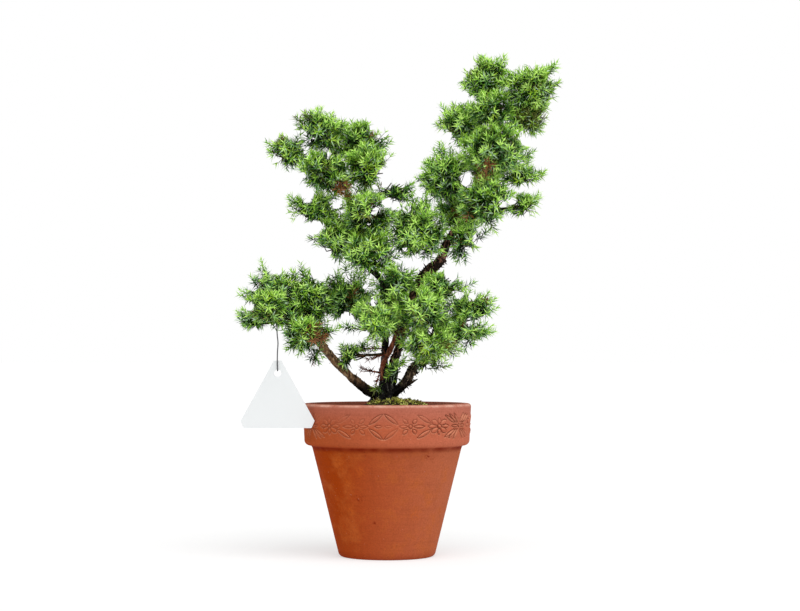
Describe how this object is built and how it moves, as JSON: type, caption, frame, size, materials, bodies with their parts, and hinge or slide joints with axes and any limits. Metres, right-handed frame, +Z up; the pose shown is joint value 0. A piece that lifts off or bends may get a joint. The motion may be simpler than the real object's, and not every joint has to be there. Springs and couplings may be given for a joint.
{
  "type": "potted needle juniper bonsai",
  "caption": "Young needle juniper trained as a multi-stemmed bonsai, with cloud-like pads of foliage, in a plain tapered terracotta pot with a floral band, and a blank tag on a wire.",
  "frame": {"origin": "centre of the pot's flat underside", "axes": "+Z up along the pot's axis, -Y towards the front, from which the tag hangs on the left, +X to the right of that view"},
  "size_m": [0.3469, 0.18, 0.5428],
  "materials": {
    "terracotta": "matte fired clay",
    "soil": "matte damp soil",
    "moss": "matte moss",
    "bark": "rough bark",
    "red_bark": "rough reddish bark",
    "needles": "satin needles",
    "tag_plastic": "satin translucent plastic",
    "tag_wire": "dull dark wire"
  },
  "bodies": {
    "root": {"pot": "terracotta", "soil": "soil", "moss": "moss", "trunk": "bark", "left_bough": "bark", "right_bough": "bark", "front_stem": "red_bark", "left_leader": "bark", "right_leader": "bark", "low_left_tip": "needles", "low_left_tail": "needles", "low_left_front": "needles", "low_left_top": "needles", "low_left_skirt": "needles", "low_left_back": "needles", "inner_tuft": "needles", "trunk_tuft": "needles", "centre_left": "needles", "centre_front": "needles", "centre_right": "needles", "centre_back": "needles", "centre_top": "needles", "centre_top_right": "needles", "low_right_top": "needles", "low_right_tip": "needles", "low_right_front": "needles", "low_right_back": "needles", "low_sprig": "needles", "mid_left_low": "needles", "mid_left_front": "needles", "mid_left_back": "needles", "mid_left_tip": "needles", "mid_left_top": "needles", "mid_twig": "needles", "upper_left_low": "needles", "upper_left_tip": "needles", "upper_left_top": "needles", "upper_left_side": "needles", "upper_left_front": "needles", "right_inner": "needles", "right_low": "needles", "right_back": "needles", "right_middle": "needles", "right_sprig": "needles", "right_upper_sprig": "needles", "right_left_side": "needles", "right_upper": "needles", "right_upper_back": "needles", "right_upper_tip": "needles", "top_low": "needles", "top_heart": "needles", "top_right": "needles", "top": "needles", "tag_plate": "tag_plastic", "tag_wire": "tag_wire"}
  },
  "joints": []
}
